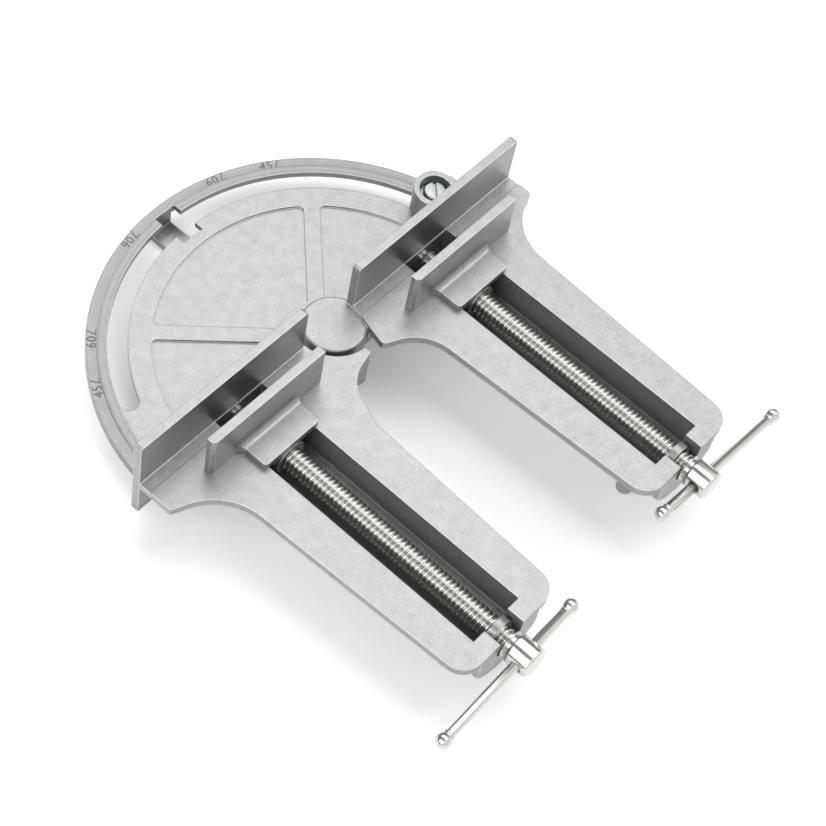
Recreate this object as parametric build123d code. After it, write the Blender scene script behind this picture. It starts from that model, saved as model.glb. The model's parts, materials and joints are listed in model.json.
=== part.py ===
from build123d import *
import os

# Multi-angle corner and splicing clamp.
# Millimetres, +Z up.  The origin is on the pivot axis, in the plane of the bench.
# The two fence faces lie in y = 0 when the arms stand in line; the arms reach towards -Y.

# Levels above the bench
WEB_TOP = 3.0          # stirrup foot under the ring
PLATE_BOTTOM = 12.0    # underside of the half-disc plate
SCALE_TOP = 14.0       # outer band that carries the numerals
DISC_TOP = 15.0        # inner bands of the half disc
POCKET_DEPTH = 1.1     # recessed fields between the ribs
ARM_UNDERSIDE = 15.4   # lowest part of the swing arm above the disc
TROUGH_FLOOR = 17.6
SCREW_AXIS = 25.9
TABLE_THICKNESS = 3.8
TABLE_TOP = 33.6
STRIP_TOP = 32.94      # machined strip at the foot of each fence
FENCE_TOP = 57.5

# Half disc
DISC_R = 100.0
SCALE_STEP_R = 95.3
FLANGE_INNER_R = 96.6
FLANGE_BOTTOM = 8.5
SLOT_R = 87.0          # centre line of the arc slot
SLOT_WIDTH = 8.4
SLOT_START = 12.4      # angles of the centres of the slot's two round ends
SLOT_END = 154.7
POCKET_R = 73.3
RIB_WIDTH = 7.0
RIB_CROSSING_Y = 7.0
POCKET_FRONT_Y = 9.0
POCKET_INNER_R = 23.0
POCKET_CORNER_R = 2.5
FRONT_EDGE_Y = -6.0
UNDER_RIB = 3.2        # stiffening ribs under the plate
UNDER_RIB_BOTTOM = 6.5

# Shoe notch through the ring and the rim, with the stirrup foot below it
NOTCH_X = (-6.3, 4.9)
NOTCH_Y = (78.1, 95.8)
STIRRUP_X = (-7.0, 4.3)
STIRRUP_Y = (74.6, 99.3)
STIRRUP_LEG = 3.3

# Hub
DOME_R = 13.9
DOME_TOP = 31.7
DOME_EDGE_R = 1.2
HUB_TOP = 24.0
SPIGOT_R = 7.0
HORN_CUT_R = 17.3
HORN_WALL = 3.2
HORN_EDGE_X = 0.4
NOSE_WALL_X = 42.0      # the nose is solid down to the hub from its tip to here
NOSE_WALL_Y = -12.0
COUNTERBORE_R = 10.0
COUNTERBORE_DEPTH = 6.0
PIVOT_SHANK_R = 2.5
PIVOT_HEAD_R = 4.6
PIVOT_HEAD_HEIGHT = 3.0
PIVOT_WASHER_R = 9.0
PIVOT_WASHER_THICKNESS = 1.5
PIVOT_TAP_TOP = 19.0

# Arms
FENCE_THICKNESS = 3.7
FENCE_END_X = 110.6
FIXED_FENCE_START_X = 18.5
SWING_FENCE_START_X = 11.5
STRIP_WIDTH = 5.6
PAD_CORNER_R = 1.5     # corners of the raised table beside the strip
FENCE_CORNER_R = 1.3   # upper corners of the fences
ARM_END_Y = -143.3
SCREW_X = 56.2
TROUGH_WIDTH = 26.5
TROUGH_WALL = 3.0
TROUGH_END_Y = -135.3
WEB_THICKNESS = 3.4
WEB_R = 6.9            # barrel top of the bearing web and the open pocket behind it
BLOCK_START_Y = -129.0
BLOCK_HALF_WIDTH = 17.5
BLOCK_SHOULDER = 20.0
BLOCK_BOTTOM = 10.4
PEG_R = 3.6
PEG_SPREAD = 10.5
PEG_Y = -125.5
PEG_BEVEL = 1.0
NUB_R = 2.2            # small round boss under the table's inner edge
NUB_PLACE = (31.0, -74.3)
NUB_DEPTH = 4.3

# Lock boss behind the swing arm's fence
LOCK_ANGLE = SLOT_START
BOSS_TOP = 29.5
BOSS_R = 9.4
BOSS_BORE_R = 7.0
BOSS_SEAT = 23.6
LUG_X = (-4.9, 10.0)   # on both sides of the boss's axis
LOCK_SHANK_R = 2.4
LOCK_HEAD_R = 5.0
LOCK_HEAD_HEIGHT = 3.6
LOCK_SLOT_TURN = 47.0  # direction of the driver slot in plan
DRIVER_SLOT = 0.9
SCREW_HEAD_BEVEL = 0.8
LOCK_WASHER_R = 6.6
LOCK_WASHER_THICKNESS = 1.0
SHOE_LENGTH = 16.8
SHOE_WIDTH = 10.4
SHOE_DEPTH = 5.4
SHOE_CORNER_R = 1.2
LOCK_SHANK_PROUD = 1.4

# Screws, jaws and tommy bars
THREAD_R = 5.2
THREAD_TIP_Y = -1.6
JOURNAL_R = 3.5
JOURNAL_END_Y = 7.0
GROOVE_R = 3.0
WASHER_R = 6.5
WASHER_THICKNESS = 1.0
RING_R = 5.6
RING_THICKNESS = 0.8
RING_MOUTH = 4.4
HEAD_FLATS = 13.0
HEAD_BEVEL = 0.6
HEAD_Y = (-156.6, -145.6)
NECK_R = 4.9
COLLAR_R = 6.0
COLLAR_THICKNESS = 1.0
BAR_Y = -151.1
BAR_R = 2.0
BAR_SPAN = 77.0        # between the centres of the two balls
BALL_R = 3.25
BALL_COLLAR_R = 2.5
BALL_COLLAR_LENGTH = 1.4
BALL_SPIGOT_R = 1.4
JAW_WIDTH = 61.9
JAW_BEVEL = 1.3
JAW_THICKNESS = 3.8
JAW_TOP = 55.5
JAW_CENTRE_X = 57.1
TONGUE_WIDTH = 31.0
TONGUE_LENGTH = 13.2
TONGUE_TOP = 37.0
NUT_R = 7.6

# Pose in the photograph
LEFT_JAW_Y = -12.5
RIGHT_JAW_Y = -15.2
LEFT_BAR = (0.7, 1.45, -9.6)      # turn on the screw's axis, skew in plan, slide along the bar
RIGHT_BAR = (-6.7, -1.15, 11.8)

# Clearances
RUNNING = 0.05         # turning and sliding fits, each side
BAR_FIT = 0.1          # tommy bar in the head's cross hole, each side
SLIDE_GAP = 0.1        # jaw above the table
SLOT_GAP = 0.2         # shoe's tongue in the arc slot, each side


def slab(face, bottom, top):
    """Stands a plan face between two levels."""
    return extrude(Pos(0, 0, bottom) * face, top - bottom)


def block(x, y, z):
    """A box between three pairs of limits."""
    centre = Pos((x[0] + x[1]) / 2, (y[0] + y[1]) / 2, (z[0] + z[1]) / 2)
    return centre * Box(abs(x[1] - x[0]), abs(y[1] - y[0]), abs(z[1] - z[0]))


def post(x, y, radius, bottom, top):
    """An upright round post."""
    return Pos(x, y, (bottom + top) / 2) * Cylinder(radius, top - bottom)


def rod(x, z, radius, start, end):
    """A round bar along Y."""
    return Pos(x, (start + end) / 2, z) * Rot(90, 0, 0) * Cylinder(radius, abs(end - start))


def rounded(corners):
    """A plan face from corners of (x, y, corner radius)."""
    face = make_face(Polyline(*[(x, y) for x, y, _ in corners], close=True))
    for x, y, radius in corners:
        if radius:
            corner = face.vertices().sort_by_distance((x, y, 0))[0]
            face = fillet(corner, radius)
    return face


def half_disc(radius):
    """The round plate, cut off just in front of the fences."""
    keep = Pos(0, FRONT_EDGE_Y + DISC_R, 0) * Rectangle(3 * DISC_R, 2 * DISC_R)
    return Circle(radius) & keep


def arc_slot():
    """Plan of the slot that the lock screw travels in."""
    reach = CenterArc((0, 0), SLOT_R, SLOT_START, SLOT_END - SLOT_START)
    band = Circle(SLOT_R + SLOT_WIDTH / 2) - Circle(SLOT_R - SLOT_WIDTH / 2)
    wedge = make_face([
        Polyline((reach @ 1) * 2, (0, 0), (reach @ 0) * 2),
        ThreePointArc((reach @ 0) * 2, (reach @ 0.5) * 2, (reach @ 1) * 2),
    ])
    ends = [Pos(reach @ 0) * Circle(SLOT_WIDTH / 2), Pos(reach @ 1) * Circle(SLOT_WIDTH / 2)]
    return (band & wedge) + ends


def pockets():
    """Plan of the three recessed fields between the ribs."""
    field = Circle(POCKET_R) & Pos(0, POCKET_FRONT_Y + POCKET_R) * Rectangle(2 * POCKET_R, 2 * POCKET_R)
    field -= Circle(POCKET_INNER_R)
    for angle in (45, 135):
        field -= Pos(0, RIB_CROSSING_Y) * Rot(0, 0, angle) * Pos(DISC_R / 2, 0) * Rectangle(DISC_R, RIB_WIDTH)
    return fillet(field.vertices(), POCKET_CORNER_R)


def arm_plan(inner_corners, outer_corners):
    """Plan of one arm's table, drawn on the +X side."""
    corners = inner_corners + [
        (28.4, ARM_END_Y, 9.0),
        (83.2, ARM_END_Y, 9.0),
    ] + outer_corners + [
        (FENCE_END_X, FENCE_THICKNESS, 0),
    ]
    return rounded(corners)


def arm_box(plan, underside):
    """Table, screw trough, end block and peg feet of one arm, on the +X side."""
    half = TROUGH_WIDTH / 2
    table = slab(plan, TABLE_TOP - TABLE_THICKNESS, STRIP_TOP)
    pad = plan & Pos(0, ARM_END_Y - STRIP_WIDTH) * Rectangle(3 * DISC_R, -2 * ARM_END_Y)
    pad -= Pos(SCREW_X, 0) * Rectangle(TROUGH_WIDTH, -2 * TROUGH_END_Y)
    pad = fillet(pad.vertices().group_by(Axis.Y)[-1], PAD_CORNER_R)
    table += slab(pad, STRIP_TOP, TABLE_TOP)
    walls_x = (SCREW_X - half - TROUGH_WALL, SCREW_X + half + TROUGH_WALL)
    body = table + block(walls_x, (TROUGH_END_Y, FENCE_THICKNESS), (underside, TABLE_TOP - 1))

    # rounded block that carries the screw's outer bearing
    left, right = SCREW_X - BLOCK_HALF_WIDTH, SCREW_X + BLOCK_HALF_WIDTH
    profile = make_face([
        Polyline((left, BLOCK_SHOULDER), (left, TABLE_TOP - 1), (right, TABLE_TOP - 1), (right, BLOCK_SHOULDER)),
        ThreePointArc((right, BLOCK_SHOULDER), (SCREW_X, BLOCK_BOTTOM), (left, BLOCK_SHOULDER)),
    ])
    body += extrude(Plane.XZ.offset(-BLOCK_START_Y) * profile, BLOCK_START_Y - ARM_END_Y)
    for side in (-1, 1):
        peg = post(SCREW_X + side * PEG_SPREAD, PEG_Y, PEG_R, 0, TROUGH_FLOOR)
        body += chamfer(peg.edges().group_by(Axis.Z)[0], PEG_BEVEL)
    underside_of_table = TABLE_TOP - TABLE_THICKNESS
    body += post(NUB_PLACE[0], NUB_PLACE[1], NUB_R, underside_of_table - NUB_DEPTH, underside_of_table + 1)

    # screw trough, and the open pocket behind the bearing web
    body -= block((SCREW_X - half, SCREW_X + half), (TROUGH_END_Y, -0.3), (TROUGH_FLOOR, FENCE_TOP))
    mouth = (SCREW_X - WEB_R, SCREW_X + WEB_R)
    web_back = TROUGH_END_Y - WEB_THICKNESS
    body -= rod(SCREW_X, SCREW_AXIS, WEB_R, web_back, ARM_END_Y - 1)
    body -= block(mouth, (web_back, ARM_END_Y - 1), (SCREW_AXIS, FENCE_TOP))
    above_web = block(mouth, (TROUGH_END_Y, web_back), (SCREW_AXIS, FENCE_TOP))
    body -= above_web - rod(SCREW_X, SCREW_AXIS, WEB_R, TROUGH_END_Y + 1, web_back - 1)
    body -= rod(SCREW_X, SCREW_AXIS, THREAD_R + RUNNING, TROUGH_END_Y + 1, web_back - 1)
    return body


def fence(start_x, underside):
    """Upright wall behind a table, drawn on the +X side."""
    wall = block((start_x, FENCE_END_X), (0, FENCE_THICKNESS), (underside, FENCE_TOP))
    return fillet(wall.edges().filter_by(Axis.Y).group_by(Axis.Z)[-1], FENCE_CORNER_R)


def journal_hole():
    return rod(SCREW_X, SCREW_AXIS, JOURNAL_R + RUNNING, -1, FENCE_THICKNESS + 1)


def base_casting():
    # fixed arm, drawn on +X and mirrored to its own side
    horn = [
        (FIXED_FENCE_START_X, FENCE_THICKNESS, 0),
        (HORN_CUT_R, 0, 0),
        (HORN_EDGE_X, 0, 0),
        (HORN_EDGE_X, -20.5, 1.2),
        (16.2, -24.2, 18.0),
        (24.3, -45.0, 30.0),
    ]
    plan = arm_plan(horn, [(88.2, -25.5, 26.0), (FENCE_END_X, -16.6, 1.5)])
    plan -= Circle(HORN_CUT_R)
    arm = arm_box(plan, DISC_TOP - 0.4)
    arm += fence(FIXED_FENCE_START_X, PLATE_BOTTOM)
    quarter = Pos(DISC_R / 2 + HORN_EDGE_X, -DISC_R / 2) * Rectangle(DISC_R, DISC_R)
    horn_pad = Circle(HORN_CUT_R + HORN_WALL) & quarter
    arm += slab(horn_pad, PLATE_BOTTOM, DISC_TOP)
    arm += slab(horn_pad - Circle(HORN_CUT_R), DISC_TOP - 1, TABLE_TOP - 1)
    arm -= journal_hole()
    body = mirror(arm, about=Plane.YZ)

    # half disc with its stepped scale band and rim flange
    disc = slab(half_disc(DISC_R), PLATE_BOTTOM, SCALE_TOP) + slab(half_disc(SCALE_STEP_R), PLATE_BOTTOM, DISC_TOP)
    disc += slab(half_disc(DISC_R) - Circle(FLANGE_INNER_R), FLANGE_BOTTOM, PLATE_BOTTOM)
    disc -= slab(pockets(), DISC_TOP - POCKET_DEPTH, DISC_TOP + 1)
    disc -= slab(arc_slot(), FLANGE_BOTTOM, DISC_TOP + 1)
    disc -= block(NOTCH_X, NOTCH_Y, (FLANGE_BOTTOM, DISC_TOP + 1))

    # stirrup foot: the lock shoe passes between its legs
    foot = block(STIRRUP_X, STIRRUP_Y, (0, PLATE_BOTTOM))
    legs_apart = (STIRRUP_Y[0] + STIRRUP_LEG, STIRRUP_Y[1] - STIRRUP_LEG)
    disc += foot - block((-DISC_R, DISC_R), legs_apart, (WEB_TOP, PLATE_BOTTOM))

    # stiffening under the plate, clear of the shoe's path
    rib_height = (UNDER_RIB_BOTTOM, PLATE_BOTTOM)
    front_rib = (FRONT_EDGE_Y, FRONT_EDGE_Y + UNDER_RIB)
    disc += block((-FLANGE_INNER_R, FLANGE_INNER_R), front_rib, rib_height)
    for angle in (45, 90, 135):
        spoke = block((DOME_R - 1, STIRRUP_Y[0] + 1), (-UNDER_RIB / 2, UNDER_RIB / 2), rib_height)
        disc += Rot(0, 0, angle) * spoke

    disc += post(0, 0, DOME_R, 0, HUB_TOP)
    body += disc
    body -= post(0, 0, SPIGOT_R + RUNNING, -1, HUB_TOP + 1)
    body -= post(0, 0, COUNTERBORE_R, -1, COUNTERBORE_DEPTH)
    return body


def lock_place():
    """The lock screw's axis, on the swing arm."""
    return Rot(0, 0, LOCK_ANGLE) * Pos(SLOT_R, 0, 0)


def swing_arm_casting():
    nose = [
        (12.8, FENCE_THICKNESS, 0),
        (11.2, 0, 0),
        (10.0, -5.5, 0),
        (5.9, -21.3, 2.4),
        (23.7, -29.2, 20.0),
    ]
    plan = arm_plan(nose, [(88.4, -20.4, 26.0), (FENCE_END_X, -12.9, 3.5)])
    body = arm_box(plan, ARM_UNDERSIDE)
    body += fence(SWING_FENCE_START_X, ARM_UNDERSIDE)
    solid_nose = plan & Rectangle(2 * NOSE_WALL_X, -2 * NOSE_WALL_Y)
    body += slab(solid_nose, HUB_TOP + RUNNING, TABLE_TOP - 1)
    body -= journal_hole()

    # lock boss on its lug behind the fence
    place = lock_place()
    body += place * post(0, 0, BOSS_R, DISC_TOP + RUNNING, BOSS_TOP)
    axis = place.position
    lug_x = (axis.X + LUG_X[0], axis.X + LUG_X[1])
    body += block(lug_x, (FENCE_THICKNESS - 1, axis.Y), (ARM_UNDERSIDE, BOSS_TOP))
    body -= place * post(0, 0, BOSS_BORE_R, BOSS_SEAT, BOSS_TOP + 1)
    body -= place * post(0, 0, LOCK_SHANK_R + BAR_FIT, 0, BOSS_SEAT + 1)

    # hub dome and the spigot that turns in the base
    body -= post(0, 0, DOME_R + 0.6, 0, HUB_TOP + RUNNING)
    dome = post(0, 0, DOME_R, HUB_TOP + RUNNING, DOME_TOP)
    body += fillet(dome.edges().group_by(Axis.Z)[-1], DOME_EDGE_R)
    body += post(0, 0, SPIGOT_R, COUNTERBORE_DEPTH - RUNNING, HUB_TOP + 1)
    body -= post(0, 0, PIVOT_SHANK_R, COUNTERBORE_DEPTH - 1, PIVOT_TAP_TOP + 1)
    return body


def jaw(face_y, bevelled_end):
    """Jaw on the +X side, with its clamping face at the given y and one end bevelled (0 inner, -1 outer)."""
    back = face_y - JAW_THICKNESS
    bottom = TABLE_TOP + SLIDE_GAP
    front = back - TONGUE_LENGTH
    ends = (JAW_CENTRE_X - JAW_WIDTH / 2, JAW_CENTRE_X + JAW_WIDTH / 2)
    plate = block(ends, (back, face_y), (bottom, JAW_TOP))
    front_uprights = plate.edges().filter_by(Axis.Z).group_by(Axis.Y)[0]
    plate = chamfer(front_uprights.sort_by(Axis.X)[bevelled_end], JAW_BEVEL)
    half = TONGUE_WIDTH / 2
    tongue = rounded([
        (SCREW_X - half - 6, face_y - 1, 0),
        (SCREW_X - half - 6, back, 0),
        (SCREW_X - half, back, 3.0),
        (SCREW_X - half, front, 1.8),
        (SCREW_X + half, front, 1.8),
        (SCREW_X + half, back, 3.0),
        (SCREW_X + half + 6, back, 0),
        (SCREW_X + half + 6, face_y - 1, 0),
    ])
    body = plate + slab(tongue, bottom, TONGUE_TOP)
    root = body.edges().filter_by(Axis.X).filter_by_position(Axis.Z, TONGUE_TOP - 0.1, TONGUE_TOP + 0.1)
    root = root.filter_by_position(Axis.Y, back - 0.1, back + 0.1)
    body = fillet(root, 3.0)
    nut = rod(SCREW_X, SCREW_AXIS, NUT_R, front, face_y - 0.6)
    nut += block((SCREW_X - NUT_R, SCREW_X + NUT_R), (front + 1.8, face_y - 0.6), (SCREW_AXIS, bottom + 0.5))
    body += nut
    body -= rod(SCREW_X, SCREW_AXIS, THREAD_R + RUNNING, front - 1, face_y + 1)
    return body


def screw_place(tilt):
    """The screw's own place: its axis on Y, turned by the tilt of its tommy bar."""
    return Pos(SCREW_X, 0, SCREW_AXIS) * Rot(0, -tilt, 0)


def bar_line(skew):
    """The tommy bar's line through the head, which isn't quite square to the screw."""
    return Pos(0, BAR_Y, 0) * Rot(0, 0, skew)


def bar_rod(radius, start, end):
    """A round bar along X."""
    return Pos((start + end) / 2, 0, 0) * Rot(0, 90, 0) * Cylinder(radius, end - start)


def cross_hole(skew):
    return bar_line(skew) * bar_rod(BAR_R + BAR_FIT, -HEAD_FLATS, HEAD_FLATS)


def spindle(tilt, skew, slide):
    """Screw with its journal, ring groove and head spigot; the thread itself is left plain."""
    body = rod(0, 0, THREAD_R, ARM_END_Y, THREAD_TIP_Y)
    body = chamfer(body.edges().group_by(Axis.Y)[-1], 0.8)
    body += rod(0, 0, JOURNAL_R, THREAD_TIP_Y - 1, JOURNAL_END_Y)
    groove_start = FENCE_THICKNESS + RUNNING + WASHER_THICKNESS
    groove = rod(0, 0, JOURNAL_R + 1, groove_start, groove_start + RING_THICKNESS)
    body -= groove - rod(0, 0, GROOVE_R, groove_start - 1, groove_start + 2)
    body += rod(0, 0, JOURNAL_R, HEAD_Y[0] + 2, ARM_END_Y + 1)
    body -= cross_hole(skew)
    return screw_place(tilt) * body


def spindle_head(tilt, skew, slide):
    """Eight-sided head with its collar, pressed on the screw's end."""
    octagon = RegularPolygon(HEAD_FLATS / 2, 8, major_radius=False, rotation=22.5)
    body = extrude(Plane.XZ.offset(-HEAD_Y[1]) * octagon, HEAD_Y[1] - HEAD_Y[0])
    ends = body.faces().filter_by(Axis.Y)
    body = chamfer(ends.edges(), HEAD_BEVEL)
    body += rod(0, 0, NECK_R, HEAD_Y[1] - 1, ARM_END_Y)
    body += rod(0, 0, COLLAR_R, ARM_END_Y - COLLAR_THICKNESS, ARM_END_Y)
    body -= rod(0, 0, JOURNAL_R, HEAD_Y[0] + 2, ARM_END_Y + 1)
    body -= cross_hole(skew)
    return screw_place(tilt) * body


def ball(side):
    """Round bar end with its small collar, at the end of the bar on the given side."""
    collar_end = BAR_SPAN / 2 - BALL_R - BALL_COLLAR_LENGTH / 2
    collar = bar_rod(BALL_COLLAR_R, collar_end, BAR_SPAN / 2)
    end = Pos(BAR_SPAN / 2, 0, 0) * Sphere(BALL_R) + collar
    return end if side > 0 else mirror(end, about=Plane.YZ)


def ball_spigot():
    """Thin end of the bar that the second ball is pressed on."""
    shoulder = BAR_SPAN / 2 - BALL_R - BALL_COLLAR_LENGTH / 2
    return bar_rod(BALL_SPIGOT_R, shoulder, BAR_SPAN / 2 + 1)


def tommy_bar(tilt, skew, slide):
    """Sliding bar with one ball of its own and a spigot for the other."""
    shoulder = BAR_SPAN / 2 - BALL_R - BALL_COLLAR_LENGTH / 2
    body = bar_rod(BAR_R, -BAR_SPAN / 2, shoulder) + ball(-1) + ball_spigot()
    return screw_place(tilt) * bar_line(skew) * Pos(slide, 0, 0) * body


def bar_ball(tilt, skew, slide):
    """Ball pressed on after the bar has gone through the head."""
    body = ball(1) - ball_spigot()
    return screw_place(tilt) * bar_line(skew) * Pos(slide, 0, 0) * body


def thrust_washer():
    start = FENCE_THICKNESS + RUNNING
    disc = rod(SCREW_X, SCREW_AXIS, WASHER_R, start, start + WASHER_THICKNESS)
    return disc - rod(SCREW_X, SCREW_AXIS, JOURNAL_R, start - 1, start + 2)


def retaining_ring():
    """Open snap ring in the journal's groove."""
    start = FENCE_THICKNESS + RUNNING + WASHER_THICKNESS
    ring = rod(SCREW_X, SCREW_AXIS, RING_R, start, start + RING_THICKNESS)
    ring -= rod(SCREW_X, SCREW_AXIS, GROOVE_R, start - 1, start + 2)
    mouth = block((SCREW_X - RING_MOUTH / 2, SCREW_X + RING_MOUTH / 2), (start - 1, start + 2), (0, SCREW_AXIS))
    return ring - mouth


def pivot_washer():
    top = COUNTERBORE_DEPTH - RUNNING
    disc = post(0, 0, PIVOT_WASHER_R, top - PIVOT_WASHER_THICKNESS, top)
    return disc - post(0, 0, PIVOT_SHANK_R + BAR_FIT, 0, top + 1)


def slotted_head(radius, height):
    """Screw head standing on z = 0, its slot along X."""
    head = post(0, 0, radius, 0, height)
    head = chamfer(head.edges().group_by(Axis.Z)[-1], SCREW_HEAD_BEVEL)
    return head - block((-radius, radius), (-DRIVER_SLOT / 2, DRIVER_SLOT / 2), (height * 0.6, height + 1))


def pivot_screw():
    """Slotted screw into the hub's spigot, driven from below."""
    seat = COUNTERBORE_DEPTH - RUNNING - PIVOT_WASHER_THICKNESS
    head = Pos(0, 0, seat) * Rot(180, 0, 0) * slotted_head(PIVOT_HEAD_R, PIVOT_HEAD_HEIGHT)
    return head + post(0, 0, PIVOT_SHANK_R, seat - 0.5, PIVOT_TAP_TOP)


def lock_washer():
    disc = post(0, 0, LOCK_WASHER_R, BOSS_SEAT, BOSS_SEAT + LOCK_WASHER_THICKNESS)
    return lock_place() * (disc - post(0, 0, LOCK_SHANK_R, 0, FENCE_TOP))


def lock_screw():
    """Slotted cheese-head screw, its head down in the boss."""
    seat = BOSS_SEAT + LOCK_WASHER_THICKNESS
    slot_turn = Rot(0, 0, LOCK_SLOT_TURN - LOCK_ANGLE)
    head = Pos(0, 0, seat) * slot_turn * slotted_head(LOCK_HEAD_R, LOCK_HEAD_HEIGHT)
    shank = post(0, 0, LOCK_SHANK_R, PLATE_BOTTOM - SHOE_DEPTH - LOCK_SHANK_PROUD, seat + 0.5)
    return lock_place() * (head + shank)


def lock_shoe():
    """Clamping shoe under the ring, with a round tongue in the slot."""
    top = PLATE_BOTTOM - RUNNING
    body = slab(RectangleRounded(SHOE_LENGTH, SHOE_WIDTH, SHOE_CORNER_R), top - SHOE_DEPTH, top)
    body += post(0, 0, SLOT_WIDTH / 2 - SLOT_GAP, top - 1, DISC_TOP - 0.5)
    body -= post(0, 0, LOCK_SHANK_R + RUNNING, 0, BOSS_TOP)
    return lock_place() * body


def on_left(part):
    return mirror(part, about=Plane.YZ)


def mirrored(place):
    """Turn, skew and slide of a tommy bar as they are before the left one is mirrored."""
    return [-value for value in place]


nodes = {
    "base_casting": base_casting(),
    "swing_arm_casting": swing_arm_casting(),
    "left_jaw": on_left(jaw(LEFT_JAW_Y, bevelled_end=-1)),
    "right_jaw": jaw(RIGHT_JAW_Y, bevelled_end=0),
    "left_spindle": on_left(spindle(*mirrored(LEFT_BAR))),
    "right_spindle": spindle(*RIGHT_BAR),
    "left_spindle_head": on_left(spindle_head(*mirrored(LEFT_BAR))),
    "right_spindle_head": spindle_head(*RIGHT_BAR),
    "left_tommy_bar": on_left(tommy_bar(*mirrored(LEFT_BAR))),
    "right_tommy_bar": tommy_bar(*RIGHT_BAR),
    "left_bar_ball": on_left(bar_ball(*mirrored(LEFT_BAR))),
    "right_bar_ball": bar_ball(*RIGHT_BAR),
    "left_thrust_washer": on_left(thrust_washer()),
    "right_thrust_washer": thrust_washer(),
    "left_retaining_ring": on_left(retaining_ring()),
    "right_retaining_ring": retaining_ring(),
    "pivot_washer": pivot_washer(),
    "pivot_screw": pivot_screw(),
    "lock_washer": lock_washer(),
    "lock_screw": lock_screw(),
    "lock_shoe": lock_shoe(),
}

os.makedirs("parts", exist_ok=True)
for name, solid in nodes.items():
    export_step(solid, f"parts/{name}.step")
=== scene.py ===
import json
import math

import bpy
from bpy.props import FloatProperty, FloatVectorProperty, PointerProperty
from mathutils import Matrix, Vector


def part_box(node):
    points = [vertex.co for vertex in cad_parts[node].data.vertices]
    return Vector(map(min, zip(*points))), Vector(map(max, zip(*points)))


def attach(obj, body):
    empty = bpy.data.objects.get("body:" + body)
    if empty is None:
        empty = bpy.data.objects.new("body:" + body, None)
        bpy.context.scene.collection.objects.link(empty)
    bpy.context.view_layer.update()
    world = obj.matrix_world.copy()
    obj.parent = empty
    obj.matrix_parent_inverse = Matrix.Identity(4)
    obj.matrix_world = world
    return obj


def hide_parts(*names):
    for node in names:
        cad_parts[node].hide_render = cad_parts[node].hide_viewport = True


bl_info = {
    "name": "Multi-Angle Corner Clamp",
    "version": (1, 0, 0),
    "blender": (4, 5, 0),
    "location": "View3D > Sidebar > Corner Clamp",
    "description": "Dresses the corner clamp: cast finishes, screw threads, "
                   "plated heads and bars, scale numerals and stage",
    "category": "Object",
}

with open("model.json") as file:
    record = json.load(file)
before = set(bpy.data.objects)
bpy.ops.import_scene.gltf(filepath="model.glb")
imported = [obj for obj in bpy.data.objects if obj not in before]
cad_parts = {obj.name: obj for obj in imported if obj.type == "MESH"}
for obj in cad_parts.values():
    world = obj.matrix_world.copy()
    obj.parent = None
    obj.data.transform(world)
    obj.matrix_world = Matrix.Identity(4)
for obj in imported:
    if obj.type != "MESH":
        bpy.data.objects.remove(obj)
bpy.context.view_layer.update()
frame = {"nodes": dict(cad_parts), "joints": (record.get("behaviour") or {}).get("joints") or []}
JOINTS = {joint["name"]: joint for joint in frame["joints"]}

MM = 0.001
SCREW_X = JOINTS["right_screw_turn"]["pos_m"][0]
SCREW_Z = JOINTS["right_screw_turn"]["pos_m"][2]
LOCK_X, LOCK_Y = JOINTS["lock_screw_turn"]["pos_m"][:2]

# Places along each screw, from the fence face
THREAD_START, THREAD_TIP = -143.3 * MM, -4.3 * MM
SHOULDER, JOURNAL_END = -1.6 * MM, 7.0 * MM
GROOVE_START, GROOVE_END = 4.75 * MM, 5.55 * MM
HEAD_FRONT, HEAD_BACK, BAR_Y = -156.6 * MM, -145.6 * MM, -151.1 * MM

# The photograph's pose: where each thread's crest stands, as a share of a turn, the lock screw's
# slot in plan, in degrees, and each tommy bar's turn about the screw and skew in plan, in degrees,
# with its slide
THREAD_PHASES = {"left": 0.0, "right": 0.4}
LOCK_SLOT_TURN = 47.0
BAR_POSES = {"left": (0.7, 1.45, -9.6 * MM), "right": (-6.7, -1.15, 11.8 * MM)}

# The base casting is turned outside this radius, up to a level just above its ring
TURNED_RADIUS, TURNED_TOP = 91.2 * MM, 15.2 * MM

# Round forms are made about Y; this lays one along X
ALONG_X = Matrix.Rotation(math.radians(-90), 4, "Z")

# Edges that turn by more degrees than this stay crisp
CRISP_EDGE = 35.0

# A Mix node's sockets share their names, so they are taken by number
FACTOR, NUMBER_A, NUMBER_B, COLOUR_A, COLOUR_B = 0, 2, 3, 6, 7
NUMBER_OUT, COLOUR_OUT = 0, 2


def linear(hex_colour):
    """A colour written as sRGB hex, turned to linear light."""
    parts = [int(hex_colour[i:i + 2], 16) / 255 for i in (1, 3, 5)]
    return tuple(c / 12.92 if c <= 0.04045 else ((c + 0.055) / 1.055) ** 2.4 for c in parts)


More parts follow.
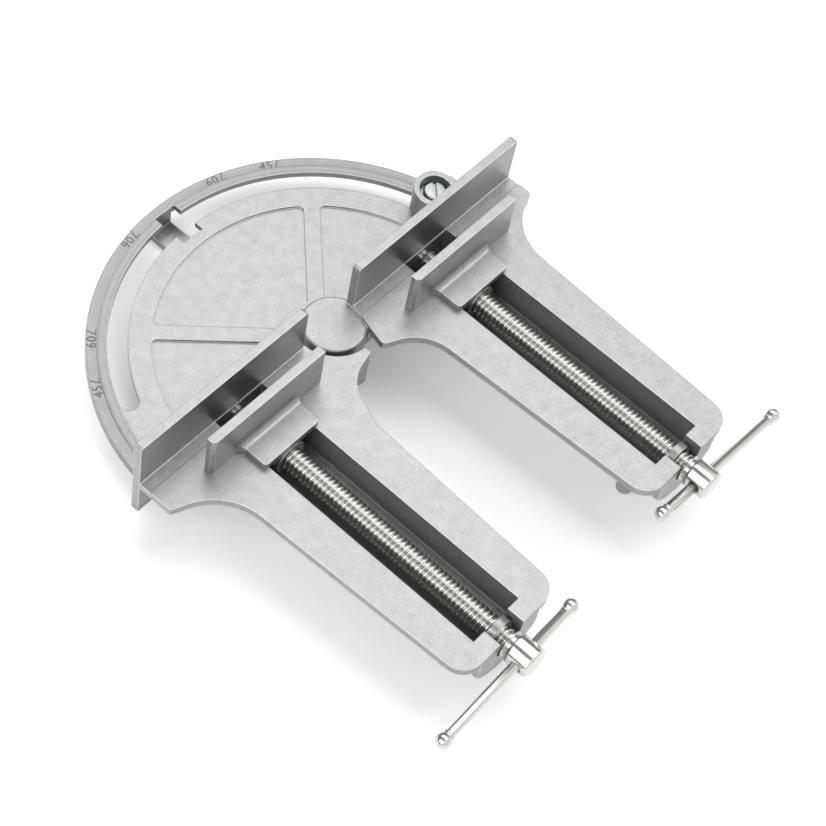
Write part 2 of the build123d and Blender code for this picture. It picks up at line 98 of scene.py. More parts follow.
class ClampSizes(bpy.types.PropertyGroup):
    thread_radius: FloatProperty(
        name="Thread radius", description="Outside radius of the screw thread",
        default=5.2 * MM, unit="LENGTH")
    thread_pitch: FloatProperty(
        name="Thread pitch", description="Twelve threads to the inch",
        default=25.4 / 12 * MM, unit="LENGTH")
    thread_depth: FloatProperty(
        name="Thread depth", description="From crest to root",
        default=1.15 * MM, unit="LENGTH")
    head_flats: FloatProperty(
        name="Head across flats", description="Width of the eight-sided head",
        default=13.0 * MM, unit="LENGTH")
    head_corner: FloatProperty(
        name="Head corner", description="Radius along the head's eight edges",
        default=4.2 * MM, unit="LENGTH")
    bar_radius: FloatProperty(
        name="Bar radius", description="Radius of the sliding tommy bar",
        default=2.0 * MM, unit="LENGTH")
    bar_span: FloatProperty(
        name="Bar span", description="Distance between the centres of the bar's two balls",
        default=77.0 * MM, unit="LENGTH")
    ball_radius: FloatProperty(
        name="Ball radius", description="Radius of the balls on the bar",
        default=3.25 * MM, unit="LENGTH")
    lock_head_radius: FloatProperty(
        name="Lock head radius", description="Radius of the lock screw's slotted head",
        default=5.0 * MM, unit="LENGTH")
    lock_head_height: FloatProperty(
        name="Lock head height", description="Height of the lock screw's slotted head",
        default=3.6 * MM, unit="LENGTH")
    numeral_height: FloatProperty(
        name="Numeral height", description="Height of the numerals on the scale band",
        default=4.0 * MM, unit="LENGTH")
    cast_edge: FloatProperty(
        name="Cast edge", description="Softness of the castings' edges",
        default=0.5 * MM, unit="LENGTH")


class ClampFinishes(bpy.types.PropertyGroup):
    casting: FloatVectorProperty(
        name="Casting", description="Tumbled cast aluminium",
        subtype="COLOR", default=linear("#B0B0B0"))
    casting_dark: FloatVectorProperty(
        name="Casting, dull patches", description="Where the tumbled skin is duller",
        subtype="COLOR", default=linear("#888888"))
    # edge colour: partly tumbling wear, partly a painted highlight
    casting_worn_edge_and_highlight: FloatVectorProperty(
        name="Casting, worn and highlit edge", description="Edges rubbed by tumbling, partly painted lighter as a highlight",
        subtype="COLOR", default=linear("#EAEAEA"))
    thread: FloatVectorProperty(
        name="Thread", description="Rolled steel thread",
        subtype="COLOR", default=linear("#D2D2D0"))
    plate: FloatVectorProperty(
        name="Plating", description="Bright nickel plate of heads and bars",
        subtype="COLOR", default=linear("#D2D2D0"))
    zinc: FloatVectorProperty(
        name="Zinc", description="Zinc plate of the washers and small screws",
        subtype="COLOR", default=linear("#A6A8AA"))
    spring: FloatVectorProperty(
        name="Spring steel", description="Oiled black snap rings",
        subtype="COLOR", default=linear("#4A4A4C"))
    numeral: FloatVectorProperty(
        name="Numerals", description="Cast-in numerals, drawn darker than the casting",
        subtype="COLOR", default=linear("#5A5A5A"))


class ClampStage(bpy.types.PropertyGroup):
    floor: FloatVectorProperty(
        name="Floor", description="Pale paper floor",
        subtype="COLOR", default=linear("#F4F4F4"))
    key_power: FloatProperty(
        name="Key light", description="Long soft box high on the clamp's right",
        default=22.0, unit="POWER")
    side_power: FloatProperty(
        name="Side light", description="Soft box on the clamp's left",
        default=12.0, unit="POWER")
    lens: FloatProperty(
        name="Lens", description="Focal length on a 36 mm sensor",
        default=99.3, unit="CAMERA")


def add(tree, kind, inputs=None, **settings):
    """Adds a node with its settings; an input takes a value or another node's output."""
    node = tree.nodes.new(kind)
    for name, value in settings.items():
        setattr(node, name, value)
    for name, value in (inputs or {}).items():
        if isinstance(value, bpy.types.NodeSocket):
            tree.links.new(value, node.inputs[name])
        else:
            node.inputs[name].default_value = value
    return node


def rgba(colour):
    return (*colour, 1.0)


def darker(colour, share):
    return tuple(c * share for c in colour)


def new_material(name):
    material = bpy.data.materials.new(name)
    material.use_nodes = True
    material.node_tree.nodes.clear()
    return material, material.node_tree


def cast_aluminium(name, light, dark, bright, edge, ringed=False):
    """Sand-cast aluminium, tumbled in stones.

    It is a pale satin grey with a frosted speckle and duller patches, and its edges are lighter,
    partly rubbed by tumbling and partly a painted highlight. The real speckle is about 0.2 mm, too
    fine to show, so it is drawn coarser. The base casting's
    ring is turned on a lathe: its marks are drawn as dark lines, and the whole ring is painted
    darker as a shade that stands in for its dimmer reflection.
    """
    speckle_size, patch_size, pit_depth = 0.45 * MM, 5.0 * MM, 0.08 * MM
    speckle_share, pitting, metal, rubbed_roughness = 0.72, 0.6, 0.76, 0.3
    material, tree = new_material(name)
    place = add(tree, "ShaderNodeTexCoord").outputs["Object"]
    grain = add(tree, "ShaderNodeTexNoise", {
        "Vector": place, "Scale": 1 / speckle_size, "Detail": 2.0, "Roughness": 0.7,
    }).outputs["Fac"]
    patches = add(tree, "ShaderNodeTexNoise", {
        "Vector": place, "Scale": 1 / patch_size, "Detail": 5.0, "Roughness": 0.7,
    }).outputs["Fac"]
    speckle = add(tree, "ShaderNodeMapRange", {
        "Value": grain, "From Min": 0.36, "From Max": 0.64}).outputs["Result"]
    spread = add(tree, "ShaderNodeMapRange", {
        "Value": patches, "From Min": 0.34, "From Max": 0.62}).outputs["Result"]
    blend = add(tree, "ShaderNodeMix", {
        FACTOR: speckle_share, NUMBER_A: spread, NUMBER_B: speckle,
    }, data_type="FLOAT").outputs[NUMBER_OUT]
    skin = add(tree, "ShaderNodeMix", {
        FACTOR: blend, COLOUR_A: rgba(dark), COLOUR_B: rgba(light),
    }, data_type="RGBA").outputs[COLOUR_OUT]
    # the turned ring: turning marks and a painted shade
    if ringed:
        skin = turning_marks_and_shade(tree, place, skin, dark)

    # where the rounded edge leans away from the flat, tumbling has rubbed it smoother; its colour
    # is painted lighter, partly wear and partly a painted highlight
    soft_edge = add(tree, "ShaderNodeBevel", {"Radius": edge}, samples=8).outputs["Normal"]
    flat = add(tree, "ShaderNodeNewGeometry").outputs["Normal"]
    lean = add(tree, "ShaderNodeVectorMath", {
        0: soft_edge, 1: flat}, operation="DOT_PRODUCT").outputs["Value"]
    rubbed_edge_and_highlight = add(tree, "ShaderNodeMapRange", {
        "Value": lean, "From Min": 0.99, "From Max": 0.88}).outputs["Result"]
    colour = add(tree, "ShaderNodeMix", {
        FACTOR: rubbed_edge_and_highlight, COLOUR_A: skin, COLOUR_B: rgba(bright),
    }, data_type="RGBA").outputs[COLOUR_OUT]
    dull = add(tree, "ShaderNodeMapRange", {
        "Value": speckle, "To Min": 0.31, "To Max": 0.45}).outputs["Result"]
    rough = add(tree, "ShaderNodeMix", {
        FACTOR: rubbed_edge_and_highlight, NUMBER_A: dull, NUMBER_B: rubbed_roughness,
    }, data_type="FLOAT").outputs[NUMBER_OUT]
    bump = add(tree, "ShaderNodeBump", {
        "Height": grain, "Normal": soft_edge, "Strength": pitting, "Distance": pit_depth,
    }).outputs["Normal"]
    shader = add(tree, "ShaderNodeBsdfPrincipled", {
        "Base Color": colour, "Metallic": metal, "Roughness": rough, "Normal": bump})
    add(tree, "ShaderNodeOutputMaterial", {"Surface": shader.outputs["BSDF"]})
    return material


def turning_marks_and_shade(tree, place, skin, dark):
    """Darkens the casting's skin round the pivot, where a lathe has turned it: fine lines for the
    turning marks, and a painted shade over the whole ring for its dimmer reflection.

    The tool's real lines are about 0.2 mm apart, too fine to show, so they are drawn coarser.
    """
    line_size, line_share = 0.5 * MM, 0.7
    in_plan = add(tree, "ShaderNodeVectorMath", {
        0: place, 1: (1.0, 1.0, 0.0)}, operation="MULTIPLY").outputs["Vector"]
    away = add(tree, "ShaderNodeVectorMath", {
        0: in_plan}, operation="LENGTH").outputs["Value"]
    level = add(tree, "ShaderNodeSeparateXYZ", {"Vector": place}).outputs["Z"]
    outside = add(tree, "ShaderNodeMath", {
        0: away, 1: TURNED_RADIUS}, operation="GREATER_THAN").outputs[0]
    below = add(tree, "ShaderNodeMath", {
        0: level, 1: TURNED_TOP}, operation="LESS_THAN").outputs[0]
    both = add(tree, "ShaderNodeMath", {0: outside, 1: below}, operation="MULTIPLY").outputs[0]
    lines = add(tree, "ShaderNodeTexNoise", {
        "W": away, "Scale": 1 / line_size, "Detail": 2.0}, noise_dimensions="1D").outputs["Fac"]
    depth = add(tree, "ShaderNodeMapRange", {
        "Value": lines, "From Min": 0.3, "From Max": 0.7, "To Min": 0.75, "To Max": 0.2,
    }).outputs["Result"]
    # painted shade: the whole ring is darkened, more along the lines, for the turned surface's
    # dimmer reflection
    share = add(tree, "ShaderNodeMath", {0: both, 1: depth}, operation="MULTIPLY").outputs[0]
    return add(tree, "ShaderNodeMix", {
        FACTOR: share, COLOUR_A: skin, COLOUR_B: rgba(darker(dark, line_share)),
    }, data_type="RGBA").outputs[COLOUR_OUT]


def polished_metal(name, light, mark_share, roughness, mark_size, edge=0.25 * MM):
    """Smooth metal with faint handling marks, which break up its reflections a little."""
    material, tree = new_material(name)
    place = add(tree, "ShaderNodeTexCoord").outputs["Object"]
    marks = add(tree, "ShaderNodeTexNoise", {
        "Vector": place, "Scale": 1 / mark_size, "Detail": 3.0, "Roughness": 0.6,
    }).outputs["Fac"]
    spread = add(tree, "ShaderNodeMapRange", {
        "Value": marks, "From Min": 0.35, "From Max": 0.65}).outputs["Result"]
    colour = add(tree, "ShaderNodeMix", {
        FACTOR: spread, COLOUR_A: rgba(darker(light, mark_share)), COLOUR_B: rgba(light),
    }, data_type="RGBA").outputs[COLOUR_OUT]
    rough = add(tree, "ShaderNodeMapRange", {
        "Value": marks, "To Min": roughness * 0.8, "To Max": roughness * 1.25,
    }).outputs["Result"]
    soft_edge = add(tree, "ShaderNodeBevel", {"Radius": edge}, samples=6).outputs["Normal"]
    shader = add(tree, "ShaderNodeBsdfPrincipled", {
        "Base Color": colour, "Metallic": 1.0, "Roughness": rough, "Normal": soft_edge})
    add(tree, "ShaderNodeOutputMaterial", {"Surface": shader.outputs["BSDF"]})
    return material


def finish(kind):
    """The named finish, made once."""
    if kind in bpy.data.materials:
        return bpy.data.materials[kind]
    colours = bpy.context.scene.clamp_finishes
    casting = (colours.casting, colours.casting_dark, colours.casting_worn_edge_and_highlight,
               bpy.context.scene.clamp_sizes.cast_edge)
    if kind == "Tumbled cast aluminium":
        return cast_aluminium(kind, *casting)
    if kind == "Tumbled casting with turned ring":
        return cast_aluminium(kind, *casting, ringed=True)
    if kind == "Cast numeral":
        # the same metal, small and sharp, drawn much darker than the casting so it reads dark
        return cast_aluminium(
            kind, colours.numeral, darker(colours.numeral, 0.7), bright=colours.casting, edge=0.1 * MM)
    if kind == "Rolled steel thread":
        # burnished by the rolling dies, which gives each crest a bright line
        return polished_metal(
            kind, colours.thread, mark_share=0.85, roughness=0.24, mark_size=3.0 * MM,
            edge=0.1 * MM)
    if kind == "Bright nickel plate":
        # polished before plating, so it mirrors the walls softly
        return polished_metal(
            kind, colours.plate, mark_share=0.92, roughness=0.19, mark_size=6.0 * MM)
    if kind == "Zinc plate":
        # barrel plated, a slightly blue and cloudy grey
        return polished_metal(
            kind, colours.zinc, mark_share=0.8, roughness=0.32, mark_size=2.0 * MM)
    if kind == "Blackened spring steel":
        # stamped, blackened and oiled, near black with a dull sheen
        return polished_metal(
            kind, colours.spring, mark_share=0.7, roughness=0.35, mark_size=2.0 * MM)
    raise ValueError(f"no finish named {kind}")


def dress(kind, *nodes):
    """Gives CAD nodes a finish through their material slots."""
    for name in nodes:
        for slot in frame["nodes"][name].material_slots:
            slot.material = finish(kind)


def turned(rows, steps):
    """Points and faces of a closed form about Y.

    A row is (y, radius), and the radius is a length or a function of the angle.
    """
    points, faces = [], []
    for y, radius in rows:
        for i in range(steps):
            angle = 2 * math.pi * i / steps
            r = radius(angle) if callable(radius) else radius
            points.append((r * math.sin(angle), y, r * math.cos(angle)))
    last = (len(rows) - 1) * steps
    for j in range(0, last, steps):
        for i in range(steps):
            k = (i + 1) % steps
            faces.append((j + i, j + k, j + steps + k, j + steps + i))
    faces.append(tuple(range(steps))[::-1])
    faces.append(tuple(range(last, last + steps)))
    return points, faces


def rounded_rim(radius):
    """How far a rounded rim stands in from the end and from the side, in six steps."""
    leans = [math.radians(15 * i) for i in range(7)]
    return [(radius * (1 - math.sin(lean)), radius * (1 - math.cos(lean))) for lean in leans]


def new_piece(name, form, place, kind, crisp=CRISP_EDGE):
    """A mesh piece of the given points and faces, put in place in the clamp's own frame."""
    points, faces = form
    mesh = bpy.data.meshes.new(name)
    mesh.from_pydata(points, [], faces)
    mesh.transform(place)
    mesh.shade_smooth()
    mesh.set_sharp_from_angle(angle=math.radians(crisp))
    mesh.materials.append(finish(kind))
    piece = bpy.data.objects.new(name, mesh)
    bpy.context.scene.collection.objects.link(piece)
    return piece


def cut(piece, cutter):
    """Cuts one piece with another, which is then removed."""
    tool = piece.modifiers.new("cut", "BOOLEAN")
    tool.operation = "DIFFERENCE"
    tool.solver = "EXACT"
    tool.object = cutter
    seen = piece.evaluated_get(bpy.context.evaluated_depsgraph_get())
    mesh = bpy.data.meshes.new_from_object(seen)
    piece.modifiers.clear()
    piece.data = mesh
    mesh.shade_smooth()
    mesh.set_sharp_from_angle(angle=math.radians(CRISP_EDGE))
    bpy.data.objects.remove(cutter)


def settle(piece, body, slot, *nodes):
    """The piece rides on its body and stands for its CAD nodes."""
    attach(piece, body)
    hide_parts(*nodes)


def screw_place(side):
    """The screw's own place, turned as in the photograph's pose."""
    tilt = BAR_POSES[side][0]
    x = SCREW_X if side == "right" else -SCREW_X
    return Matrix.Translation((x, 0, SCREW_Z)) @ Matrix.Rotation(math.radians(-tilt), 4, "Y")


def bar_line(side):
    """The line of the tommy bar through the head, along its own X."""
    skew = Matrix.Rotation(math.radians(BAR_POSES[side][1]), 4, "Z")
    return screw_place(side) @ Matrix.Translation((0, BAR_Y, 0)) @ skew


class CLAMP_OT_castings(bpy.types.Operator):
    """Finish of the two castings and the jaws"""
    bl_idname = "clamp.castings"
    bl_label = "Castings and Jaws"

    def execute(self, context):
        dress("Tumbled casting with turned ring", "base_casting")
        dress("Tumbled cast aluminium", "swing_arm_casting", "left_jaw", "right_jaw")
        return {"FINISHED"}


class CLAMP_OT_screws(bpy.types.Operator):
    """The two screws with their left-hand threads"""
    bl_idname = "clamp.screws"
    bl_label = "Threaded Screws"

    def execute(self, context):
        sizes = context.scene.clamp_sizes
        for side, phase in THREAD_PHASES.items():
            screw = new_piece(
                f"{side}_threaded_screw", turned(self.rows(sizes, phase), steps=64),
                screw_place(side), "Rolled steel thread", crisp=60)
            settle(screw, f"{side}_screw", "bright_steel", f"{side}_spindle")
        return {"FINISHED"}

    def rows(self, sizes, phase):
        """The thread, then the shoulder against the fence and the journal with its groove."""
        radius, root = sizes.thread_radius, sizes.thread_radius - sizes.thread_depth
        collar, collar_rim = radius - 0.2 * MM, radius - 0.5 * MM
        spigot, journal, groove = 3.4 * MM, 3.5 * MM, 3.0 * MM
        relief, rise, collar_bevel, bevel = 0.3 * MM, 0.5 * MM, 0.3 * MM, 0.4 * MM
        rows_a_pitch = 16
        length = THREAD_TIP - THREAD_START
        count = round(length / sizes.thread_pitch * rows_a_pitch)
        rows = [(THREAD_START, spigot)]
        for i in range(count + 1):
            y = THREAD_START + length * i / count
            rows.append((y, self.thread(y, sizes, phase)))
        return rows + [
            (THREAD_TIP, root),
            (THREAD_TIP + relief, root),
            (THREAD_TIP + rise, collar),
            (SHOULDER - collar_bevel, collar),
            (SHOULDER, collar_rim),
            (SHOULDER, journal),
            (GROOVE_START, journal),
            (GROOVE_START, groove),
            (GROOVE_END, groove),
            (GROOVE_END, journal),
            (JOURNAL_END - bevel, journal),
            (JOURNAL_END, journal - bevel),
        ]

    def thread(self, y, sizes, phase):
        """Radius of a left-hand thread at one place along it, as a function of the angle."""
        radius, pitch, depth = sizes.thread_radius, sizes.thread_pitch, sizes.thread_depth
        tip_bevel, crest_power = 0.8 * MM, 2.1
        bevelled = radius - max(0.0, y - THREAD_TIP + tip_bevel)

        def at(angle):
            turn = (y / pitch + angle / (2 * math.pi) + phase) % 1.0
            away = abs(turn - 0.5) * 2  # 0 at the crest, 1 at the root
            return min(bevelled, radius - depth * away ** crest_power)
        return at


class CLAMP_OT_heads(bpy.types.Operator):
    """The two eight-sided heads with their collars"""
    bl_idname = "clamp.heads"
    bl_label = "Screw Heads"

    def execute(self, context):
        sizes = context.scene.clamp_sizes
        head_form = turned(self.rows(sizes), steps=96)
        bore_form = turned(self.bore(sizes), steps=48)
        for side in BAR_POSES:
            head = new_piece(f"{side}_head", head_form, screw_place(side), "Bright nickel plate")
            cutter = new_piece("bore", bore_form, bar_line(side) @ ALONG_X, "Bright nickel plate")
            cut(head, cutter)
            settle(head, f"{side}_screw", "nickel", f"{side}_spindle_head")
        return {"FINISHED"}

    def rows(self, sizes):
        """The head with its ends rounded over, a short neck and the collar."""
        neck, collar, collar_rim, bevel = 4.9 * MM, 6.0 * MM, 5.7 * MM, 0.3 * MM
        collar_width, round_over = 1.0 * MM, 1.6 * MM
        collar_front = THREAD_START - collar_width
        sections = []
        for inset, drop in reversed(rounded_rim(round_over)):
            section = self.octagon(sizes.head_flats / 2 - drop, sizes.head_corner - drop)
            sections.append((inset, section))
        rows = [(HEAD_FRONT + inset, section) for inset, section in sections]
        rows += [(HEAD_BACK - inset, section) for inset, section in reversed(sections)]
        return rows + [
            (HEAD_BACK, neck),
            (collar_front, neck),
            (collar_front, collar_rim),
            (collar_front + bevel, collar),
            (THREAD_START - bevel, collar),
            (THREAD_START, collar_rim),
        ]

    def bore(self, sizes):
        """The bar's hole, which opens out at both of the head's flats."""
        reach, flat = sizes.head_flats, sizes.head_flats / 2
        play, mouth, mouth_depth = 0.1 * MM, 3.0 * MM, 0.9 * MM
        hole, wide = sizes.bar_radius + play, mouth + reach - flat
        return [
            (-reach, wide), (-flat + mouth_depth, hole),
            (flat - mouth_depth, hole), (reach, wide),
        ]

    def octagon(self, half, corner):
        """Radius of an eight-sided section with rounded corners, as a function of the angle."""
        to_corner = math.radians(22.5)  # from the middle of a flat
        centre = (half - corner) / math.cos(to_corner)
        tangent = math.atan((half - corner) * math.tan(to_corner) / half)

        def at(angle):
            off_flat = abs((angle + to_corner) % (2 * to_corner) - to_corner)
            if off_flat <= tangent:
                return half / math.cos(off_flat)
            off_corner = to_corner - off_flat
            across = centre * math.sin(off_corner)
            return centre * math.cos(off_corner) + math.sqrt(corner ** 2 - across ** 2)
        return at


class CLAMP_OT_bars(bpy.types.Operator):
    """The sliding tommy bars and their balls"""
    bl_idname = "clamp.bars"
    bl_label = "Tommy Bars"

    def execute(self, context):
        sizes = context.scene.clamp_sizes
        pin = 1.2 * MM
        end = self.end_rows(sizes)
        shoulder = end[0][0]
        own_end = [(-y, r) for y, r in reversed(end)]
        bar_form = turned(own_end + [(shoulder, sizes.bar_radius)], steps=48)
        ball_form = turned([(shoulder, pin)] + end, steps=48)
        # the ball that is pressed on last sits at each bar's outer end
        outwards = {"left": ALONG_X @ Matrix.Rotation(math.pi, 4, "Z"), "right": ALONG_X}
        for side, turn in outwards.items():
            place = bar_line(side) @ Matrix.Translation((BAR_POSES[side][2], 0, 0)) @ turn
            bar = new_piece(f"{side}_bar", bar_form, place, "Bright nickel plate", crisp=50)
            settle(bar, f"{side}_bar", "nickel", f"{side}_tommy_bar")
            ball = new_piece(
                f"{side}_pressed_ball", ball_form, place, "Bright nickel plate", crisp=50)
            settle(ball, f"{side}_bar", "nickel", f"{side}_bar_ball")
        return {"FINISHED"}

    def end_rows(self, sizes):
        """Collar and ball at the bar's +Y end, from the shoulder outwards."""
        half, ball = sizes.bar_span / 2, sizes.ball_radius
        collar, collar_width, bevel, crease = 2.5 * MM, 1.0 * MM, 0.3 * MM, 0.05 * MM
        neck = collar * 0.86
        shoulder = half - ball - 0.7 * MM
        # the ball starts at the neck and closes in a small flat
        start, tip, count = math.asin(neck / ball), math.pi - 0.06, 22
        rows = [
            (shoulder, collar - bevel),
            (shoulder + bevel, collar),
            (shoulder + collar_width, collar),
            (half - ball * math.cos(start) - crease, neck),
        ]
        for i in range(1, count + 1):
            angle = start + (tip - start) * i / count
            rows.append((half - ball * math.cos(angle), ball * math.sin(angle)))
        return rows


class CLAMP_OT_lock(bpy.types.Operator):
    """The slotted lock screw and the small hardware"""
    bl_idname = "clamp.lock"
    bl_label = "Lock Screw and Hardware"

    def execute(self, context):
        self.lock_screw(context.scene.clamp_sizes)
        dress("Zinc plate", "lock_washer", "pivot_washer", "pivot_screw",
              "left_thrust_washer", "right_thrust_washer")
        dress("Rolled steel thread", "lock_shoe")
        dress("Blackened spring steel", "left_retaining_ring", "right_retaining_ring")
        return {"FINISHED"}

    def lock_screw(self, sizes):
        """Cheese-head screw that stands on its washer, with a rounded rim and a driver slot."""
        low, high = (corner[2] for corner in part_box("lock_screw"))
        place = Matrix.Translation((LOCK_X, LOCK_Y, 0))
        upright = place @ Matrix.Rotation(math.radians(90), 4, "X")
        across = place @ Matrix.Rotation(math.radians(LOCK_SLOT_TURN), 4, "Z")
        form = turned(self.rows(sizes, low, high), steps=64)
        screw = new_piece("slotted_lock_screw", form, upright, "Zinc plate")
        slot = self.slot_form(sizes.lock_head_radius, high)
        cut(screw, new_piece("driver_slot", slot, across, "Zinc plate"))
        settle(screw, "lock_bolt", "zinc_steel", "lock_screw")

    def rows(self, sizes, low, high):
        """The shank, whose fine thread is rings because the boss hides it, and the head."""
        seat, radius = high - sizes.lock_head_height, sizes.lock_head_radius
        shank, pitch, depth, plain = 2.4 * MM, 0.8 * MM, 0.4 * MM, 1.0 * MM
        point, bevel, rim = 0.2 * MM, 0.2 * MM, 0.9 * MM
        rows_a_pitch = 10
        rows = [(low, shank - depth)]
        count = round((seat - plain - low) / pitch * rows_a_pitch)
        for i in range(count + 1):
            z = low + point + pitch * i / rows_a_pitch
            away = 0.5 + 0.5 * math.cos(2 * math.pi * i / rows_a_pitch)
            rows.append((z, shank - depth * away))
        rows += [(seat, shank), (seat, radius - bevel), (seat + bevel, radius)]
        return rows + [(high - inset, radius - drop) for inset, drop in rounded_rim(rim)]

    def slot_form(self, radius, high):
        """Points and faces of the block that cuts the driver slot, clear of the head all round."""
        half, depth, clear = 0.7 * MM, 1.8 * MM, 1 * MM
        reach, floor, above = radius + clear, high - depth, high + clear
        outline = [(-reach, -half), (reach, -half), (reach, half), (-reach, half)]
        points = [(x, y, z) for z in (floor, above) for x, y in outline]
        faces = [(0, 3, 2, 1), (4, 5, 6, 7), (0, 1, 5, 4), (1, 2, 6, 5), (2, 3, 7, 6), (3, 0, 4, 7)]
        return points, faces


class CLAMP_OT_numerals(bpy.types.Operator):
    """The cast numerals on the scale band, each with a small angle sign"""
    bl_idname = "clamp.numerals"
    bl_label = "Scale Numerals"

    # each numeral, and its direction from the pivot in degrees
    labels = (("45", 58.7), ("60", 73.6), ("90", 102.9), ("60", 134.5), ("45", 148.7))

    def execute(self, context):
        height = context.scene.clamp_sizes.numeral_height
        edge, foot, level = 1.9 * MM, 95.6 * MM, 14.04 * MM
        for place, (text, angle) in enumerate(self.labels, start=1):
            curve = bpy.data.curves.new(f"numeral_{place}", "FONT")
            curve.body = text
            curve.size = height * 1.4  # a digit stands about 0.7 of the font's size
            curve.space_character = 1.1
            curve.align_x = "RIGHT"
            curve.extrude = 0.06 * MM
            curve.materials.append(finish("Cast numeral"))
            digits = bpy.data.objects.new(f"numeral_{place}", curve)
            bpy.context.scene.collection.objects.link(digits)
            turn = Matrix.Rotation(math.radians(angle - 90), 4, "Z")
            digits.matrix_world = turn @ Matrix.Translation((edge, foot, level))
            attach(digits, "base")
            self.angle_sign(f"angle_sign_{place}", turn, height)
        return {"FINISHED"}

    def angle_sign(self, name, turn, height):
        """Two thin strokes that meet at the lower left."""
        top, bottom = 14.1 * MM, 13.99 * MM
        left, low, width, stroke = 2.5 * MM, 95.65 * MM, 3.0 * MM, 0.42 * MM
        right, high = left + width, low + height
        # where the slanted stroke meets the level one, and how far its tip stands in from the right
        inner, tip_right, tip_left = 0.75 * MM, 0.6 * MM, 1.05 * MM
        outline = [
            (left, low), (right, low), (right, low + stroke), (left + inner, low + stroke),
            (right - tip_right, high), (right - tip_left, high),
        ]
        count = len(outline)
        points = [(x, y, z) for z in (bottom, top) for x, y in outline]
        faces = [tuple(range(count))[::-1], tuple(range(count, 2 * count))]
        faces += [(i, (i + 1) % count, (i + 1) % count + count, i + count) for i in range(count)]
        sign = new_piece(name, (points, faces), turn, "Cast numeral")
        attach(sign, "base")


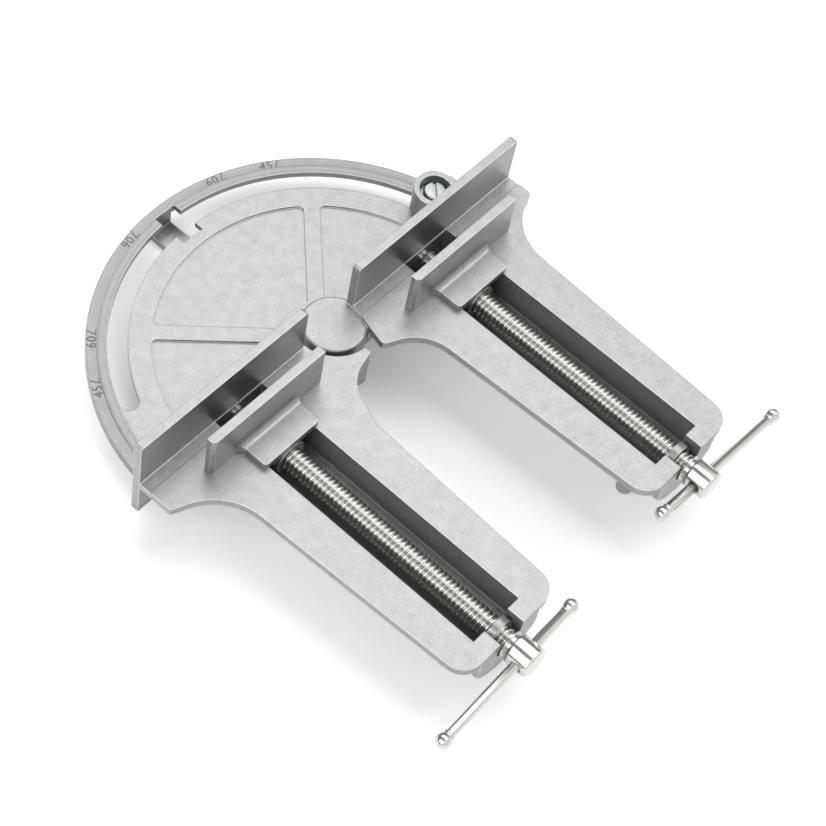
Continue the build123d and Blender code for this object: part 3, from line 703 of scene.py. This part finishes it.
class CLAMP_OT_stage(bpy.types.Operator):
    """Pale floor, soft studio light and the photograph's camera"""
    bl_idname = "clamp.stage"
    bl_label = "Stage"

    def execute(self, context):
        stage = context.scene.clamp_stage
        self.floor(stage)
        self.lamp("key_light", stage.key_power,
                  place=(0.64, 0.5, 1.4), aim=(0.0, 0.5, 0.0), size=(2.5, 1.1))
        self.lamp("side_light", stage.side_power,
                  place=(-1.15, 0.12, 0.9), aim=(0.0, -0.05, 0.0), size=(1.5, 0.8))
        context.scene.world = self.studio()
        self.camera(stage)
        context.scene.view_settings.view_transform = "Standard"
        return {"FINISHED"}

    def floor(self, stage):
        """Seamless paper: matt, with a lift that the eye and metal see, so it keeps its shadows."""
        reach, lift = 3.0, 0.24
        corners = [(-reach, -reach, 0), (reach, -reach, 0), (reach, reach, 0), (-reach, reach, 0)]
        mesh = bpy.data.meshes.new("floor")
        mesh.from_pydata(corners, [], [(0, 1, 2, 3)])
        material, tree = new_material("Seamless paper")
        paper = add(tree, "ShaderNodeBsdfDiffuse", {"Color": rgba(stage.floor)}).outputs[0]
        seen = add(tree, "ShaderNodeLightPath").outputs
        either = add(tree, "ShaderNodeMath", {
            0: seen["Is Camera Ray"], 1: seen["Is Glossy Ray"]}, operation="MAXIMUM").outputs[0]
        any_view = add(tree, "ShaderNodeMath", {
            0: either, 1: seen["Is Transmission Ray"]}, operation="MAXIMUM").outputs[0]
        glow = add(tree, "ShaderNodeMath", {
            0: any_view, 1: lift}, operation="MULTIPLY").outputs[0]
        lifted = add(tree, "ShaderNodeEmission", {"Strength": glow}).outputs[0]
        both = add(tree, "ShaderNodeAddShader", {0: paper, 1: lifted}).outputs[0]
        add(tree, "ShaderNodeOutputMaterial", {"Surface": both})
        mesh.materials.append(material)
        floor = bpy.data.objects.new("floor", mesh)
        bpy.context.scene.collection.objects.link(floor)

    def lamp(self, name, power, place, aim, size):
        """A soft box at a place, turned towards its aim."""
        data = bpy.data.lights.new(name, "AREA")
        data.shape = "RECTANGLE"
        data.size, data.size_y = size
        data.energy = power
        lamp = bpy.data.objects.new(name, data)
        lamp.location = place
        lamp.rotation_mode = "QUATERNION"
        lamp.rotation_quaternion = (Vector(aim) - Vector(place)).to_track_quat("-Z", "Y")
        bpy.context.scene.collection.objects.link(lamp)

    def studio(self):
        """The room: metal sees a white wall in front and a dimmer one behind.

        The camera sees plain white, and the light on all else is even and soft.
        """
        front_wall, back_wall, soft_light = 1.0, 0.3, 0.42
        world = bpy.data.worlds.new("Studio")
        world.use_nodes = True
        tree = world.node_tree
        tree.nodes.clear()
        way = add(tree, "ShaderNodeTexCoord").outputs["Generated"]
        behind = add(tree, "ShaderNodeSeparateXYZ", {"Vector": way}).outputs["Y"]
        walls = add(tree, "ShaderNodeMapRange", {
            "Value": behind, "From Min": -0.4, "From Max": 0.1,
            "To Min": front_wall, "To Max": back_wall}).outputs["Result"]
        seen = add(tree, "ShaderNodeLightPath").outputs
        room = add(tree, "ShaderNodeMix", {
            FACTOR: seen["Is Glossy Ray"], NUMBER_A: soft_light, NUMBER_B: walls,
        }, data_type="FLOAT").outputs[NUMBER_OUT]
        strength = add(tree, "ShaderNodeMath", {
            0: room, 1: seen["Is Camera Ray"]}, operation="MAXIMUM").outputs[0]
        glow = add(tree, "ShaderNodeBackground", {
            "Color": (1.0, 1.0, 1.0, 1.0), "Strength": strength}).outputs["Background"]
        add(tree, "ShaderNodeOutputWorld", {"Surface": glow})
        return world

    def camera(self, stage):
        """The photograph's camera, solved from the half disc's circles and the two arms."""
        place = (-0.4428, -0.3021, 0.7885)
        right = Vector((0.6583, -0.7411, 0.1318)).normalized()
        back = Vector((-0.4781, -0.2765, 0.8337)).normalized()
        up = back.cross(right).normalized()
        right = up.cross(back).normalized()
        data = bpy.data.cameras.new("camera")
        data.lens = stage.lens
        data.sensor_width = 36.0
        camera = bpy.data.objects.new("camera", data)
        rows = [(right[i], up[i], back[i]) for i in range(3)]
        camera.matrix_world = Matrix.Translation(place) @ Matrix(rows).to_4x4()
        bpy.context.scene.collection.objects.link(camera)
        bpy.context.scene.camera = camera


PIECES = [
    CLAMP_OT_castings, CLAMP_OT_screws, CLAMP_OT_heads, CLAMP_OT_bars,
    CLAMP_OT_lock, CLAMP_OT_numerals, CLAMP_OT_stage,
]
GROUPS = {"clamp_sizes": ClampSizes, "clamp_finishes": ClampFinishes, "clamp_stage": ClampStage}


class CLAMP_PT_pieces(bpy.types.Panel):
    """Lists the clamp's pieces, sizes and finishes"""
    bl_idname = "CLAMP_PT_pieces"
    bl_label = "Corner Clamp"
    bl_space_type = "VIEW_3D"
    bl_region_type = "UI"
    bl_category = "Corner Clamp"

    def draw(self, context):
        for operator in PIECES:
            self.layout.operator(operator.bl_idname)
        for name, group in GROUPS.items():
            column = self.layout.column()
            for setting in group.__annotations__:
                column.prop(getattr(context.scene, name), setting)


CLASSES = [*GROUPS.values(), *PIECES, CLAMP_PT_pieces]


def register():
    for cls in CLASSES:
        bpy.utils.register_class(cls)
    for name, group in GROUPS.items():
        setattr(bpy.types.Scene, name, PointerProperty(type=group))


def unregister():
    for name in GROUPS:
        delattr(bpy.types.Scene, name)
    for cls in reversed(CLASSES):
        bpy.utils.unregister_class(cls)


def main():
    register()
    bpy.ops.clamp.castings()
    bpy.ops.clamp.screws()
    bpy.ops.clamp.heads()
    bpy.ops.clamp.bars()
    bpy.ops.clamp.lock()
    bpy.ops.clamp.numerals()
    bpy.ops.clamp.stage()


if __name__ == "__main__":
    main()
